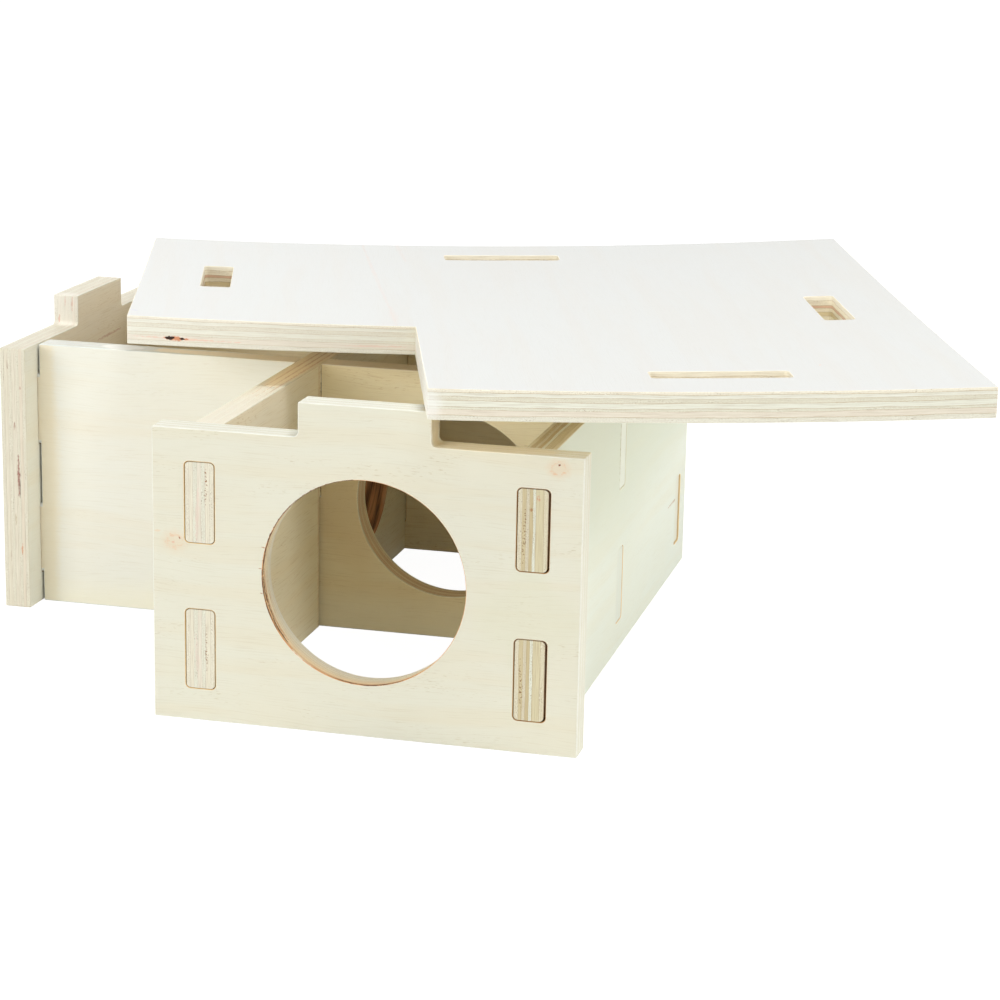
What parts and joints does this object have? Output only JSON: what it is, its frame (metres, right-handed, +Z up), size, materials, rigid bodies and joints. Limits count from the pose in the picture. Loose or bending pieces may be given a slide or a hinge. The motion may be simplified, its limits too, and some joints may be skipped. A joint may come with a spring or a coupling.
{
  "type": "wooden hamster house",
  "caption": "Plug-together plywood house for a hamster: an L-shaped plan of linked rooms with round doorways, open below, under a loose slotted lid.",
  "frame": {"origin": "on the ground, under the crossing of the centre wall and the cross wall, at the crossing of the middle planes of their thickness", "axes": "+Z up; the doorway in the front wall faces -Y; +X runs along the front wall to the right wall, and the wing lies to -X"},
  "size_m": [0.3702, 0.3273, 0.1271],
  "materials": {
    "wall_plywood": "sanded bare poplar plywood, cream face veneer, scorched router-cut openings",
    "lid_plywood": "sanded bare poplar plywood, pale face veneer, slightly cupped and twisted"
  },
  "bodies": {
    "house": {"front_wall": "wall_plywood", "centre_wall": "wall_plywood", "cross_wall": "wall_plywood", "right_wall": "wall_plywood", "left_wall": "wall_plywood", "back_wall": "wall_plywood"},
    "lid": {"lid": "lid_plywood"}
  },
  "joints": [
    {"name": "lid_lift", "type": "slide", "parent": "house", "child": "lid", "axis": [0, 0, 1], "range_m": [0, 0.15]}
  ]
}
